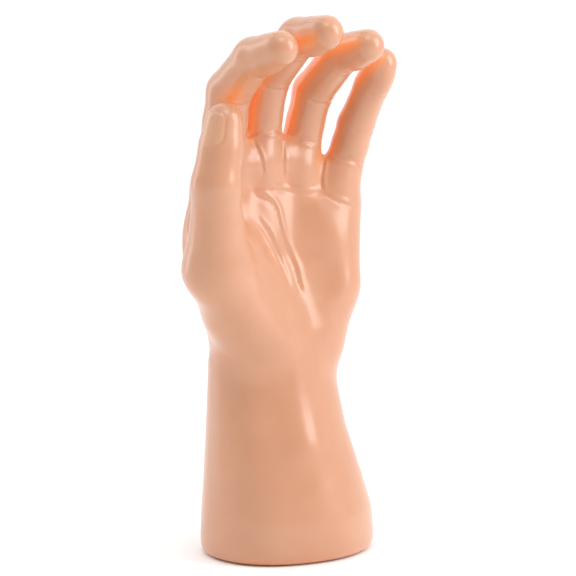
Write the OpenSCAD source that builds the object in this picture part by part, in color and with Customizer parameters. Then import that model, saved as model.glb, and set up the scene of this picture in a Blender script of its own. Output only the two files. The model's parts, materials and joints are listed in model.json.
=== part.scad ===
// Passive prosthetic hand, left: a posable thumb and four posable fingers on a palm frame,
// a wrist that turns on a friction bush, and a forearm cuff, all under a smooth glove.
// Millimetres. +Z from the cuff to the fingertips, palm towards -Y, thumb towards -X.
// The origin is the middle of the base, on the surface that it stands on.

/* [Cuff] */
// Width of the base, thumb side to little-finger side
base_w = 85; // [72:1:100]
// Depth of the base, palm side to back
base_d = 68; // [58:1:82]
// Width of the wrist
wrist_w = 65; // [58:1:80]
// Depth of the wrist
wrist_d = 49; // [46:1:60]
// Height of the plane at which the hand turns on the cuff
wrist_z = 92; // [76:1:110]
// Where the wrist lies, to the side of and behind the middle of the base
wrist_shift = [-5, 4]; // [-10:0.5:10]
// Wall of the rigid cuff shell
shell_wall = 3; // [2:0.5:4]
// Thickness of the base plate
plate_t = 4; // [3:0.5:6]
// Width of the glove's lip, turned in under the base
lip_w = 8; // [6:0.5:10]

/* [Glove] */
// Thickness of the glove
glove_t = 2; // [1.4:0.1:2.4]
// Gap between a soft piece and what it covers
soft_gap = 0.25; // [0.1:0.05:0.5]

/* [Palm] */
// Width of the palm across the knuckles
palm_w = 87; // [76:1:100]
// Thickness of the palm
palm_t = 29; // [27:1:36]
// Where the knuckles lie across the palm, index to little
knuckle_across = [-34, -12, 11, 28]; // [-42:0.5:42]
// Height of the knuckles above the wrist plane, index to little
knuckle_rise = [82, 86, 80, 71]; // [60:1:104]
// How far the knuckles lie behind the middle of the base, index to little
knuckle_back = [4, 6, 5, 1]; // [-2:0.5:8]
// Thickness of the frame plate
frame_t = 4; // [3:0.5:5]

/* [Fingers] */
// Bones of the index finger, knuckle to fingertip pad
index_bones = [47, 25, 20]; // [14:1:60]
// Bones of the middle finger
middle_bones = [49, 29, 20]; // [14:1:60]
// Bones of the ring finger
ring_bones = [48, 29, 20]; // [14:1:60]
// Bones of the little finger
little_bones = [42, 22, 15]; // [12:1:56]
// Radius of each finger at its hinge, index to little
finger_r = [10.9, 10.4, 9.9, 9.3]; // [9:0.1:11.4]
// Radius of each fingertip, index to little
tip_r = [8, 8, 7.8, 7]; // [6:0.1:9]
// Length from each finger's hinge to its middle joint, index to little
hinge_to_joint = [14, 18, 15, 10]; // [9:0.5:20]
// How far each finger can be flexed from its rest
finger_travel = 25; // [10:1:30]

/* [Thumb] */
// Radius of the thumb at its hinge
thumb_r = 12.4; // [10:0.1:14]
// Radius of the thumb tip
thumb_tip_r = 9; // [7:0.5:10]
// Radius of the ball of the thumb, at the wrist and at the thumb's knuckle
thenar_r = [17, 15.5]; // [13:0.5:19]
// Height of the thumb hinge above the thumb's knuckle
thumb_hinge_up = 22; // [18:0.5:28]
// How far the thumb can be moved across the palm
thumb_travel = 30; // [10:1:36]

/* [Hinges] */
// Diameter of the hinge pins
pin_d = 3; // [2:0.5:4]
// Thickness of the tongue at the foot of each finger rod
tongue_t = 3.2; // [2.4:0.2:4]
// Radius of the tongue and of the ears that hold it
ear_r = 4.8; // [4:0.1:5.2]
// Thickness of each ear
ear_t = 2.1; // [1.6:0.1:2.4]
// Thickness of each friction washer
washer_t = 0.4; // [0.3:0.1:0.6]
// Diameter of the finger rods
rod_d = 4; // [3:0.5:5]
// Running clearance all round a pin or shaft
run_gap = 0.05; // [0.02:0.01:0.1]

/* [Wrist unit] */
// Diameter of the wrist shaft
shaft_d = 16; // [14:0.5:18]
// Wall of the friction bush
bush_wall = 3; // [2:0.5:4]
// Wall of the wrist housing
housing_wall = 5; // [4:0.5:6]
// Height of the wrist housing
housing_h = 22; // [16:1:28]
// Diameter of the threaded end of the wrist shaft
thread_d = 12; // [10:1:13]

/* [Base mount] */
// Diameter of the circle of socket bolts
bolt_circle_d = 30; // [24:1:34]
// Diameter of each socket bolt hole
bolt_d = 5; // [4:0.5:6]

/* [Hidden] */

INDEX = 0;
MIDDLE = 1;
RING = 2;
LITTLE = 3;
THUMB = 4;
FINGERS = [INDEX, MIDDLE, RING, LITTLE];

SKIN = "#e3ac8a";
FOAM = "#f0dcae";
ALLOY = "#c2c5c9";
STEEL = "#8d9299";
BRASS = "#c8a24a";
ACETAL = "#f2f1ea";
LAMINATE = "#cfa183";

round_fn = 48;     // sides asked of a round cut or boss
ring_n = 32;       // points round a section of the cuff or palm
digit_n = 16;      // points round a section of a digit
squareness = 2.3;  // exponent of the sections, where 2 is an ellipse
joint_gap = 0.3;   // between faces of two bodies that pass each other
part_gap = 0.05;   // between fixed faces that meet
through = 1;       // how far a cut runs past the face that it cuts
rod_n = 12;        // points round a section of a bent rod
corner = 6;        // length of the rounded bend on each side of a digit's joint
rod_corner = 3;    // the same for the rod inside it
flex_spare = 4;    // angle left open in a flexing gap at the end of the travel

// Flexion of each bone from the upright, the sideways lean and the turn of its plane.
finger_flex = [[12, 52, 80], [11, 52, 85], [12, 50, 80], [19, 32, 37]];
finger_lean = [-2, -1, 0, 2];
finger_turn = 3;
finger_bones = [index_bones, middle_bones, ring_bones, little_bones];

// Joints of the thumb, up from the wrist plane, and the axis that it moves about.
thumb_base = [-20, -5, wrist_z + 16];
thumb_knuckle = [-47, -14, wrist_z + 46];
thumb_joint = [-54, -24, wrist_z + 88];
thumb_end = [-51, -25, wrist_z + 115];
thumb_joint_r = 11.5;
thumb_bone = unit(thumb_joint - thumb_knuckle);
thumb_axis = across([0.6, 0.8, 0], thumb_bone);
thumb_hinge = thumb_knuckle + thumb_hinge_up * thumb_bone;

wrist_c = wrist_shift;
shaft_r = shaft_d / 2;
bush_r = shaft_r + run_gap + bush_wall;
housing_r = bush_r + part_gap + housing_wall;
flange_r = shaft_r + 9;
cap_t = 5;
cap_top = wrist_z - 0.5;
housing_low = cap_top - housing_h;
bush_flange_t = 2;
flange_low = cap_top + bush_flange_t + 0.1;
flange_t = 5;
foot_low = flange_low + flange_t + part_gap;
foot_t = 4;
foot_top = foot_low + foot_t;
frame_screw_d = 4;
frame_screw_angles = [-60, -120, 60, 120];
frame_screw_ring = shaft_r + 5;

frame_y = 8;
frame_front = frame_y - frame_t / 2;
lug = [10, 4, 20];
lug_drop = 8;       // from a knuckle down to the top of its lug
lug_screw_d = 3;
lug_screw_pitch = 9;
lug_screw_drop = 2; // from the middle of a lug down to the middle of its screws
lug_spread = 0.9;   // how far across a lug lies, as a share of its knuckle
thumb_lug_c = [-24, wrist_z + 28];

shell_inset = glove_t + soft_gap;
plate_inset = shell_inset + shell_wall + part_gap;
lip_top = glove_t;
plate_low = lip_top + soft_gap;
plate_top = plate_low + plate_t;
ledge_t = 4;
ledge_w = 13;
base_screw_d = 4;
base_screw_head = [7.4, 3];
base_screw_y = 12;
base_screw_margin = 5.333;
base_screw_at = [
    half_width_at(base_screw_y, base_w / 2 - lip_w, base_d / 2 - lip_w) - base_screw_margin,
    base_screw_y
];
base_c = [2, 0];

stack_half = tongue_t / 2 + washer_t + 2 * part_gap + ear_t;
core_inset = glove_t + soft_gap;
bridge_top = -ear_r - 1;
bridge_low = bridge_top - 7;

// ---- lines and sections ----

function unit(v) = v / norm(v);

// The part of v at right angles to direction d, as a unit vector.
function across(v, d) = unit(v - (v * d) * d);

function mix(a, b, t) = a + (b - a) * t;

function power_of(v, p) = sign(v) * pow(abs(v), p);

// Half width, at a distance y from its middle, of a section of half width a and half depth b.
function half_width_at(y, a, b) = a * pow(1 - pow(y / b, squareness), 1 / squareness);

// One closed section round c, facing along dir, with half widths a and b.
function section(c, dir, side, a, b, n, p = 2) =
    let (u = across(side, dir), v = cross(dir, u))
    [for (k = [0:n - 1])
        let (t = 360 * (k + 0.5) / n)
        c + u * a * power_of(cos(t), 2 / p) + v * b * power_of(sin(t), 2 / p)];

// A solid through sections that all have the same number of points.
module loft(sections) {
    n = len(sections[0]);
    last = len(sections) - 1;
    polyhedron(
        points = [for (s = sections) for (p = s) p],
        faces = concat(
            [[for (k = [0:n - 1]) k]],
            [for (i = [0:last - 1]) for (k = [0:n - 1])
                [i * n + k, (i + 1) * n + k, (i + 1) * n + (k + 1) % n]],
            [for (i = [0:last - 1]) for (k = [0:n - 1])
                [i * n + k, (i + 1) * n + (k + 1) % n, i * n + (k + 1) % n]],
            [[for (k = [n - 1:-1:0]) last * n + k]]
        )
    );
}

// Sections along joints, with a radius at each joint, from the first joint up to the last.
// The bends are rounded over length cut on each side of a joint.
function along_joints(joints, radii, cut, n) =
    let (
        last = len(joints) - 1,
        dirs = [for (i = [0:last - 1]) unit(joints[i + 1] - joints[i])]
    )
    concat(
        [section(joints[0], dirs[0], [1, 0, 0], radii[0], radii[0], n)],
        [for (i = [1:1:last - 1]) for (side = [-1, 0, 1])
            let (
                along = side < 0 ? dirs[i - 1] : side > 0 ? dirs[i] : unit(dirs[i - 1] + dirs[i]),
                before = joints[i] - cut * dirs[i - 1],
                after = joints[i] + cut * dirs[i],
                c = side < 0 ? before : side > 0 ? after : (before + 2 * joints[i] + after) / 4,
                near = side < 0 ? radii[i - 1] : radii[i + 1],
                r = mix(radii[i], near, abs(side) * 0.2)
            )
            section(c, along, [1, 0, 0], r, r, n)],
        [section(joints[last], dirs[last - 1], [1, 0, 0], radii[last], radii[last], n)]
    );

// A digit drawn in by inset all over, with a domed tip.
module digit_form(joints, radii, inset = 0) {
    last = len(joints) - 1;
    end_c = joints[last];
    end_dir = unit(end_c - joints[last - 1]);
    end_r = radii[last] - inset;
    loft(concat(
        along_joints(joints, [for (r = radii) r - inset], corner, digit_n),
        [for (a = [30, 55, 75])
            section(end_c + end_r * sin(a) * end_dir, end_dir, [1, 0, 0],
                end_r * cos(a), end_r * cos(a), digit_n)]
    ));
}

// A rod along joints, with round bends.
module bent_rod(joints, d) {
    loft(along_joints(joints, [for (j = joints) d / 2], rod_corner, rod_n));
}

// ---- where each digit stands ----
// In a digit's own frame the hinge is at the origin, the hinge axis is +X, the digit rises
// along +Z and flexes towards -Y.

function hinge_up(i) = finger_bones[i][0] - hinge_to_joint[i];

function digit_r(i) = i == THUMB ? thumb_r : finger_r[i];

function root(i) = [knuckle_across[i], knuckle_back[i], wrist_z + knuckle_rise[i]];

module place_digit(i) {
    if (i == THUMB) {
        side = cross(thumb_bone, thumb_axis);
        multmatrix([
            [thumb_axis[0], side[0], thumb_bone[0], thumb_hinge[0]],
            [thumb_axis[1], side[1], thumb_bone[1], thumb_hinge[1]],
            [thumb_axis[2], side[2], thumb_bone[2], thumb_hinge[2]],
            [0, 0, 0, 1]
        ]) children();
    } else {
        translate(root(i))
            rotate([0, finger_lean[i], 0])
            rotate([0, 0, finger_turn])
            rotate([finger_flex[i][0], 0, 0])
            translate([0, 0, hinge_up(i)])
            children();
    }
}

function flexed(length, angle) = length * [0, -sin(angle), cos(angle)];

// The joints of a digit above its hinge, in its own frame.
function digit_joints(i) = i == THUMB ? thumb_joints() : finger_joints(i);

function finger_joints(i) =
    let (
        b = finger_bones[i],
        f = finger_flex[i],
        first = [0, 0, hinge_to_joint[i]],
        second = first + flexed(b[1], f[1] - f[0])
    )
    [[0, 0, 0], first, second, second + flexed(b[2], f[2] - f[0])];

function thumb_joints() =
    let (
        side = cross(thumb_bone, thumb_axis),
        rise = norm(thumb_joint - thumb_knuckle) - thumb_hinge_up,
        last = thumb_end - thumb_joint
    )
    [[0, 0, 0], [0, 0, rise],
        [last * thumb_axis, last * side, rise + last * thumb_bone]];

function digit_radii(i) = i == THUMB
    ? [thumb_r, thumb_joint_r, thumb_tip_r]
    : [digit_r(i), mix(digit_r(i), tip_r[i], 0.12), mix(digit_r(i), tip_r[i], 0.55), tip_r[i]];

function digit_travel(i) = i == THUMB ? thumb_travel : finger_travel;

// Turns a flat outline drawn as (y, z) into a plate of thickness t across the hinge axis.
module across_axis(t) {
    rotate([90, 0, 90])
        translate([0, 0, -t / 2])
        linear_extrude(t)
        children();
}

// All that is below a digit's soft body: flat behind the hinge, and an open wedge on the
// palm side that closes as the digit flexes.
module below_digit(i) {
    reach = 2 * digit_r(i);
    angle = digit_travel(i) + flex_spare;
    across_axis(4 * digit_r(i))
        polygon([
            [-reach, -reach], [reach, -reach], [reach, joint_gap / 2],
            [0, joint_gap / 2], [-reach, joint_gap / 2 + reach * tan(angle)]
        ]);
}

// ---- digits ----

module digit_glove(i) {
    color(SKIN) place_digit(i) difference() {
        digit_form(digit_joints(i), digit_radii(i));
        digit_form(digit_joints(i), digit_radii(i), glove_t);
        below_digit(i);
    }
}

module digit_core(i) {
    color(FOAM) place_digit(i) difference() {
        digit_form(digit_joints(i), digit_radii(i), core_inset);
        below_digit(i);
        across_axis(2 * stack_half + 2 * joint_gap) circle(r = ear_r + 2 * joint_gap, $fn = round_fn);
        across_axis(tongue_t + 2 * part_gap) tongue_outline(2 * part_gap);
        bent_rod(rod_joints(i), rod_d + 2 * part_gap);
    }
}

// The rod stops short of the fingertip, and starts at the top of the tongue.
function rod_joints(i) =
    let (j = digit_joints(i), last = len(j) - 1)
    concat(
        [[0, 0, ear_r + 1]],
        [for (k = [1:1:last - 1]) j[k]],
        [mix(j[last - 1], j[last], 0.8)]
    );

module tongue_outline(grow = 0) {
    circle(r = ear_r + grow, $fn = round_fn);
    translate([-rod_d / 2 - 1 - grow, 0]) square([rod_d + 2 + 2 * grow, ear_r + 2.5 + grow]);
}

module digit_rod(i) {
    color(STEEL) place_digit(i) difference() {
        union() {
            across_axis(tongue_t) tongue_outline();
            bent_rod(rod_joints(i), rod_d);
        }
        rotate([0, 90, 0])
            cylinder(r = pin_d / 2 + run_gap, h = 4 * tongue_t, center = true, $fn = round_fn);
    }
}

module digit_pin(i) {
    color(STEEL) place_digit(i)
        rotate([0, 90, 0])
        cylinder(d = pin_d, h = 2 * stack_half, center = true, $fn = round_fn);
}

module digit_washers(i) {
    for (side = [-1, 1])
        color(BRASS) place_digit(i)
            translate([side * (tongue_t / 2 + part_gap + washer_t / 2), 0, 0])
            rotate([0, 90, 0])
            difference() {
                cylinder(r = ear_r - 0.3, h = washer_t, center = true, $fn = round_fn);
                cylinder(r = pin_d / 2 + run_gap, h = 3 * washer_t, center = true, $fn = round_fn);
            }
}

// ---- brackets that hold the hinges ----

module ear_outline(grow = 0) {
    circle(r = ear_r + grow, $fn = round_fn);
    translate([-ear_r - grow, bridge_low]) square([2 * (ear_r + grow), -bridge_low]);
}

// Two ears and the bridge below them, in the digit's frame.
module clevis() {
    for (side = [-1, 1])
        translate([side * (stack_half - ear_t / 2), 0, 0])
            across_axis(ear_t) ear_outline();
    translate([-stack_half, -ear_r, bridge_low])
        cube([2 * stack_half, 2 * ear_r, bridge_top - bridge_low]);
}

function lug_at(i) = i == THUMB
    ? [thumb_lug_c[0], frame_front - part_gap - lug[1] / 2, thumb_lug_c[1]]
    : [lug_spread * root(i)[0], frame_front - part_gap - lug[1] / 2, root(i)[2] - lug_drop - lug[2] / 2];

module lug_block(i, grow = 0) {
    translate(lug_at(i)) cube(lug + 2 * grow * [1, 1, 1], center = true);
}

// The arm from the top of a lug to the clevis.
module arm(i, grow = 0) {
    w = 6 + 2 * grow;
    hull() {
        translate(lug_at(i) + [0, 0, lug[2] / 2 - 2.4])
            cube([w, lug[1] - 0.6 + 2 * grow, 4], center = true);
        place_digit(i) translate([0, 0, bridge_low + 2]) cube([w, w, 3], center = true);
    }
}

module lug_axis(i) {
    for (side = [-1, 1])
        translate(lug_at(i) + [0, 0, side * lug_screw_pitch / 2 - lug_screw_drop])
            rotate([-90, 0, 0])
            children();
}

module bracket(i) {
    color(ALLOY) difference() {
        union() {
            lug_block(i);
            arm(i);
            place_digit(i) clevis();
        }
        place_digit(i)
            rotate([0, 90, 0])
            cylinder(r = pin_d / 2 + 0.01, h = 6 * stack_half, center = true, $fn = round_fn);
        lug_axis(i)
            cylinder(r = lug_screw_d / 2 + part_gap, h = 3 * lug[1], center = true, $fn = round_fn);
    }
}

module lug_screws(i) {
    color(STEEL) lug_axis(i) {
        translate([0, 0, -lug[1] / 2 - part_gap - 2])
            cylinder(r = lug_screw_d / 2 + 1.2, h = 2, $fn = round_fn);
        translate([0, 0, -lug[1] / 2 - part_gap - 1])
            cylinder(d = lug_screw_d, h = lug[1] + frame_t + 1 + 2 * part_gap, $fn = round_fn);
    }
}

// Room for a bracket, its screws and the moving tongue, to be cut from the foam.
module bracket_room(i) {
    lug_block(i, part_gap);
    arm(i, part_gap);
    lug_axis(i)
        translate([0, 0, -lug[1] / 2 - 3])
        cylinder(r = lug_screw_d / 2 + 1.4, h = lug[1] + 3, $fn = round_fn);
    place_digit(i)
        translate([-stack_half - 0.2, -ear_r - 0.3, bridge_low - part_gap])
        cube([2 * stack_half + 0.4, 2 * ear_r + 0.6, ear_r + 2 - bridge_low]);
}

// ---- cuff ----

// Height, middle across, middle in depth, half width and half depth of the cuff's sections.
function cuff_rows() =
    let (bw = base_w / 2, bd = base_d / 2, ww = wrist_w / 2, wd = wrist_d / 2)
    [
        [0, base_c[0], base_c[1], bw - 4, bd - 4],
        [1.5, base_c[0], base_c[1], bw - 1.4, bd - 1.4],
        [5, base_c[0], base_c[1], bw, bd],
        [0.13 * wrist_z, base_c[0], base_c[1], bw, bd],
        [0.38 * wrist_z, mix(base_c[0], wrist_c[0], 0.2), mix(base_c[1], wrist_c[1], 0.15),
            mix(bw, ww, 0.25), mix(bd, wd, 0.2)],
        [0.65 * wrist_z, mix(base_c[0], wrist_c[0], 0.7), mix(base_c[1], wrist_c[1], 0.5),
            mix(bw, ww, 0.68), mix(bd, wd, 0.62)],
        [0.92 * wrist_z, wrist_c[0], mix(base_c[1], wrist_c[1], 0.9), ww + 0.3, wd + 0.3],
        [wrist_z - joint_gap / 2, wrist_c[0], wrist_c[1], ww, wd]
    ];

// The cuff drawn in by inset, from height low to height high.
module cuff_form(inset, low, high) {
    rows = cuff_rows();
    intersection() {
        loft([for (r = rows)
            section([r[1], r[2], r[0]], [0, 0, 1], [1, 0, 0],
                r[3] - inset, r[4] - inset, ring_n, squareness)]);
        translate([-base_w, -base_d, low]) cube([2 * base_w, 2 * base_d, high - low]);
    }
}

module base_section(inset, low, h) {
    translate([0, 0, low])
        linear_extrude(h)
        polygon([for (p = section([base_c[0], base_c[1], 0], [0, 0, 1], [1, 0, 0],
            base_w / 2 - inset, base_d / 2 - inset, ring_n, squareness)) [p[0], p[1]]]);
}

module forearm_glove() {
    color(SKIN) difference() {
        cuff_form(0, 0, wrist_z);
        cuff_form(glove_t, lip_top, wrist_z + through);
        base_section(lip_w, -through, lip_top + 2 * through);
    }
}

module base_screw_axis() {
    for (x = [-1, 1], y = [-1, 1])
        translate([base_c[0] + x * base_screw_at[0], base_c[1] + y * base_screw_at[1], 0]) children();
}

module forearm_shell() {
    rim = cap_top - cap_t - part_gap;
    color(LAMINATE) difference() {
        cuff_form(shell_inset, plate_low, cap_top);
        difference() {
            cuff_form(shell_inset + shell_wall, plate_top + part_gap, rim);
            base_section(0, plate_top, part_gap + ledge_t);
        }
        base_section(plate_inset - part_gap, plate_low - through, plate_t + through + part_gap);
        base_section(shell_inset + shell_wall + ledge_w, plate_top, ledge_t + 2 * through);
        wrist_cap(part_gap);
        base_screw_axis()
            cylinder(r = base_screw_d / 2 + part_gap, h = plate_top + 3 * ledge_t, $fn = round_fn);
    }
}

module base_plate() {
    color(ALLOY) difference() {
        union() {
            base_section(lip_w + joint_gap, 0, plate_low + part_gap);
            base_section(plate_inset, plate_low, plate_t);
        }
        base_screw_axis() {
            cylinder(r = base_screw_d / 2 + part_gap, h = 3 * plate_top, $fn = round_fn);
            translate([0, 0, -through])
                cylinder(r = base_screw_head[0] / 2 + 0.2, h = base_screw_head[1] + 0.5 + through,
                    $fn = round_fn);
        }
        for (k = [0:3])
            rotate(45 + 90 * k)
                translate([bolt_circle_d / 2, 0, -through])
                cylinder(d = bolt_d, h = 3 * plate_top, $fn = round_fn);
    }
}

module base_screws() {
    color(STEEL) base_screw_axis() {
        translate([0, 0, 0.5]) cylinder(d = base_screw_head[0], h = base_screw_head[1], $fn = round_fn);
        translate([0, 0, 2]) cylinder(d = base_screw_d, h = plate_top + ledge_t - 2, $fn = round_fn);
    }
}

// ---- wrist unit ----

module on_wrist(z) {
    translate([wrist_c[0], wrist_c[1], z]) children();
}

// The plate that closes the top of the cuff.
module wrist_cap(grow = 0) {
    inset = shell_inset + shell_wall / 2 - grow;
    on_wrist(cap_top - cap_t - grow)
        linear_extrude(cap_t + grow + (grow > 0 ? through : 0))
        polygon([for (p = section([0, 0, 0], [0, 0, 1], [1, 0, 0],
            wrist_w / 2 - inset, wrist_d / 2 - inset, ring_n, squareness)) [p[0], p[1]]]);
}

module wrist_housing() {
    color(ALLOY) difference() {
        union() {
            wrist_cap();
            on_wrist(housing_low) cylinder(r = housing_r, h = housing_h, $fn = round_fn);
        }
        on_wrist(housing_low - through)
            cylinder(r = bush_r + part_gap, h = housing_h + 2 * through, $fn = round_fn);
    }
}

module friction_bush() {
    color(ACETAL) difference() {
        union() {
            on_wrist(housing_low) cylinder(r = bush_r, h = housing_h + 0.2, $fn = round_fn);
            on_wrist(cap_top + part_gap) cylinder(r = bush_r + 4, h = bush_flange_t - part_gap, $fn = round_fn);
        }
        on_wrist(housing_low - through)
            cylinder(r = shaft_r + run_gap, h = housing_h + 4 * through, $fn = round_fn);
    }
}

module wrist_spindle() {
    color(STEEL) difference() {
        union() {
            on_wrist(housing_low) cylinder(r = shaft_r, h = flange_low - housing_low + 1, $fn = round_fn);
            on_wrist(flange_low) cylinder(r = flange_r, h = flange_t, $fn = round_fn);
            on_wrist(housing_low - 14) cylinder(d = thread_d, h = 15, $fn = round_fn);
        }
        frame_screw_axis()
            cylinder(r = frame_screw_d / 2 + part_gap, h = foot_top, $fn = round_fn);
    }
}

module spindle_washer() {
    color(BRASS) on_wrist(housing_low - 2 - 0.1) difference() {
        cylinder(r = bush_r + 3, h = 2, $fn = round_fn);
        translate([0, 0, -through])
            cylinder(r = thread_d / 2 + run_gap, h = 2 + 2 * through, $fn = round_fn);
    }
}

module spindle_nut() {
    color(STEEL) on_wrist(housing_low - 2 - 0.1 - part_gap - 8) difference() {
        cylinder(r = thread_d * 0.9, h = 8, $fn = 6);
        translate([0, 0, -through])
            cylinder(r = thread_d / 2 + run_gap, h = 8 + 2 * through, $fn = round_fn);
    }
}

module frame_screw_axis() {
    for (a = frame_screw_angles)
        on_wrist(0) rotate(a) translate([frame_screw_ring, 0, 0]) children();
}

module frame_screws() {
    color(STEEL) frame_screw_axis() {
        translate([0, 0, foot_top + part_gap]) cylinder(r = 3, h = 2.5, $fn = round_fn);
        translate([0, 0, flange_low + 0.5])
            cylinder(d = frame_screw_d, h = foot_top - flange_low, $fn = round_fn);
    }
}

// ---- palm ----

module frame_outline(grow = 0) {
    offset(r = grow) hull() {
        for (x = [-9, 9])
            translate([wrist_c[0] + x, foot_low + 6]) circle(r = 6, $fn = round_fn);
        for (i = [INDEX, MIDDLE, RING, LITTLE, THUMB])
            translate([lug_at(i)[0], lug_at(i)[2] + 2]) circle(r = 6, $fn = round_fn);
    }
}

module palm_frame() {
    color(ALLOY) difference() {
        union() {
            translate([0, frame_y + frame_t / 2, 0])
                rotate([90, 0, 0])
                linear_extrude(frame_t)
                difference() {
                    frame_outline();
                    for (x = [-11, 10])
                        translate([x - 1, wrist_z + 40]) circle(r = 6.5, $fn = round_fn);
                }
            on_wrist(foot_low) cylinder(r = flange_r, h = foot_t, $fn = round_fn);
        }
        frame_screw_axis()
            translate([0, 0, wrist_z]) cylinder(r = frame_screw_d / 2 + part_gap, h = 3 * foot_t + 8, $fn = round_fn);
        for (i = [INDEX, MIDDLE, RING, LITTLE, THUMB])
            lug_axis(i)
                cylinder(r = lug_screw_d / 2 + part_gap, h = 6 * frame_t, center = true, $fn = round_fn);
    }
}

// Height above the wrist plane, middle across, middle in depth, half width, half depth.
function palm_rows() =
    let (w = palm_w / 2, t = palm_t / 2, ww = wrist_w / 2, wd = wrist_d / 2, h = knuckle_rise[MIDDLE])
    [
        [0, wrist_c[0], wrist_c[1], ww, wd],
        [0.17 * h, -5, wrist_c[1], mix(ww, w, 0.12), wd - 1],
        [0.36 * h, -4.5, 3, mix(ww, w, 0.55), mix(wd, t, 0.4)],
        [0.54 * h, -3.5, 2.5, w - 1.5, mix(wd, t, 0.8)],
        [0.75 * h, -2.5, 3, w, t],
        [0.93 * h, -2.5, 3, w - 1.5, t - 2],
        [1.05 * h, -3.5, 2, w - 6, t - 4.5],
        [1.12 * h, -4.5, 1, w - 14, t - 8]
    ];

// The palm, the feet of the fingers and the ball of the thumb, drawn in by inset all over.
// The open ends, at the wrist and at the hinges, run on by over.
module palm_form(inset = 0, over = 0) {
    rows = palm_rows();
    last = len(rows) - 1;
    loft([for (k = [0:last])
        let (r = rows[k], z = wrist_z + joint_gap / 2 + r[0] - (k == 0 ? over : k == last ? inset : 0))
        section([r[1], r[2], z], [0, 0, 1], [1, 0, 0], r[3] - inset, r[4] - inset, ring_n, squareness)]);
    for (i = FINGERS)
        place_digit(i) loft([for (s = [[-38, -1], [-20, 0.7], [over - joint_gap / 2, 0]])
            section([0, 0, s[0]], [0, 0, 1], [1, 0, 0],
                digit_r(i) + s[1] - inset, digit_r(i) + s[1] - inset, digit_n)]);
    ball_of_thumb(inset, over);
}

module ball_of_thumb(inset, over) {
    low_dir = unit(thumb_knuckle - thumb_base);
    neck_r = mix(thenar_r[1], thumb_r, 0.4);
    rows = [
        [thumb_base - 4 * low_dir, low_dir, thenar_r[0] - 5],
        [thumb_base + 6 * low_dir, low_dir, thenar_r[0]],
        [thumb_knuckle - 8 * low_dir, low_dir, thenar_r[1]],
        [thumb_knuckle + 6 * thumb_bone, thumb_bone, neck_r],
        [thumb_hinge + (over - joint_gap / 2) * thumb_bone, thumb_bone, thumb_r]
    ];
    loft([for (r = rows) section(r[0], r[1], thumb_axis, r[2] - inset, r[2] - inset, digit_n)]);
}

module palm_glove() {
    color(SKIN) difference() {
        palm_form();
        palm_form(glove_t, through);
    }
}

// What the foam is cut away for.
module palm_room() {
    on_wrist(wrist_z) cylinder(r = flange_r + joint_gap, h = foot_top + 3 - wrist_z, $fn = round_fn);
    translate([0, frame_y + frame_t / 2 + part_gap, 0])
        rotate([90, 0, 0])
        linear_extrude(frame_t + 2 * part_gap)
        frame_outline(part_gap);
    for (i = [INDEX, MIDDLE, RING, LITTLE, THUMB]) bracket_room(i);
}

module palm_foam_front() {
    color(FOAM) difference() {
        palm_form(core_inset);
        translate([-200, frame_y, 0]) cube([400, 200, 400]);
        palm_room();
    }
}

module palm_foam_back() {
    color(FOAM) difference() {
        palm_form(core_inset);
        translate([-200, frame_y + part_gap - 200, 0]) cube([400, 200, 400]);
        palm_room();
    }
}

module knuckle_screws() {
    for (i = FINGERS) lug_screws(i);
}

module hinge_washers() {
    for (i = FINGERS) digit_washers(i);
}

module index_knuckle() {
    bracket(INDEX);
}

module middle_knuckle() {
    bracket(MIDDLE);
}

module ring_knuckle() {
    bracket(RING);
}

module little_knuckle() {
    bracket(LITTLE);
}

module index_pin() {
    digit_pin(INDEX);
}

module middle_pin() {
    digit_pin(MIDDLE);
}

module ring_pin() {
    digit_pin(RING);
}

module little_pin() {
    digit_pin(LITTLE);
}

module index_rod() {
    digit_rod(INDEX);
}

module middle_rod() {
    digit_rod(MIDDLE);
}

module ring_rod() {
    digit_rod(RING);
}

module little_rod() {
    digit_rod(LITTLE);
}

module index_core() {
    digit_core(INDEX);
}

module middle_core() {
    digit_core(MIDDLE);
}

module ring_core() {
    digit_core(RING);
}

module little_core() {
    digit_core(LITTLE);
}

module index_glove() {
    digit_glove(INDEX);
}

module middle_glove() {
    digit_glove(MIDDLE);
}

module ring_glove() {
    digit_glove(RING);
}

module little_glove() {
    digit_glove(LITTLE);
}

module thumb_bracket() {
    bracket(THUMB);
}

module thumb_screws() {
    lug_screws(THUMB);
}

module thumb_pin() {
    digit_pin(THUMB);
}

module thumb_washers() {
    digit_washers(THUMB);
}

module thumb_rod() {
    digit_rod(THUMB);
}

module thumb_core() {
    digit_core(THUMB);
}

module thumb_glove() {
    digit_glove(THUMB);
}

// ---- the assembly ----

forearm_glove();
forearm_shell();
base_plate();
base_screws();
wrist_housing();
friction_bush();
wrist_spindle();
spindle_washer();
spindle_nut();
palm_frame();
frame_screws();
palm_foam_front();
palm_foam_back();
palm_glove();
index_knuckle();
middle_knuckle();
ring_knuckle();
little_knuckle();
knuckle_screws();
index_pin();
middle_pin();
ring_pin();
little_pin();
hinge_washers();
index_rod();
middle_rod();
ring_rod();
little_rod();
index_core();
middle_core();
ring_core();
little_core();
index_glove();
middle_glove();
ring_glove();
little_glove();
thumb_bracket();
thumb_screws();
thumb_pin();
thumb_washers();
thumb_rod();
thumb_core();
thumb_glove();
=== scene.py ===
"""Looks of the passive prosthetic hand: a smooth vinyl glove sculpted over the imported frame."""

import json
import math

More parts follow.
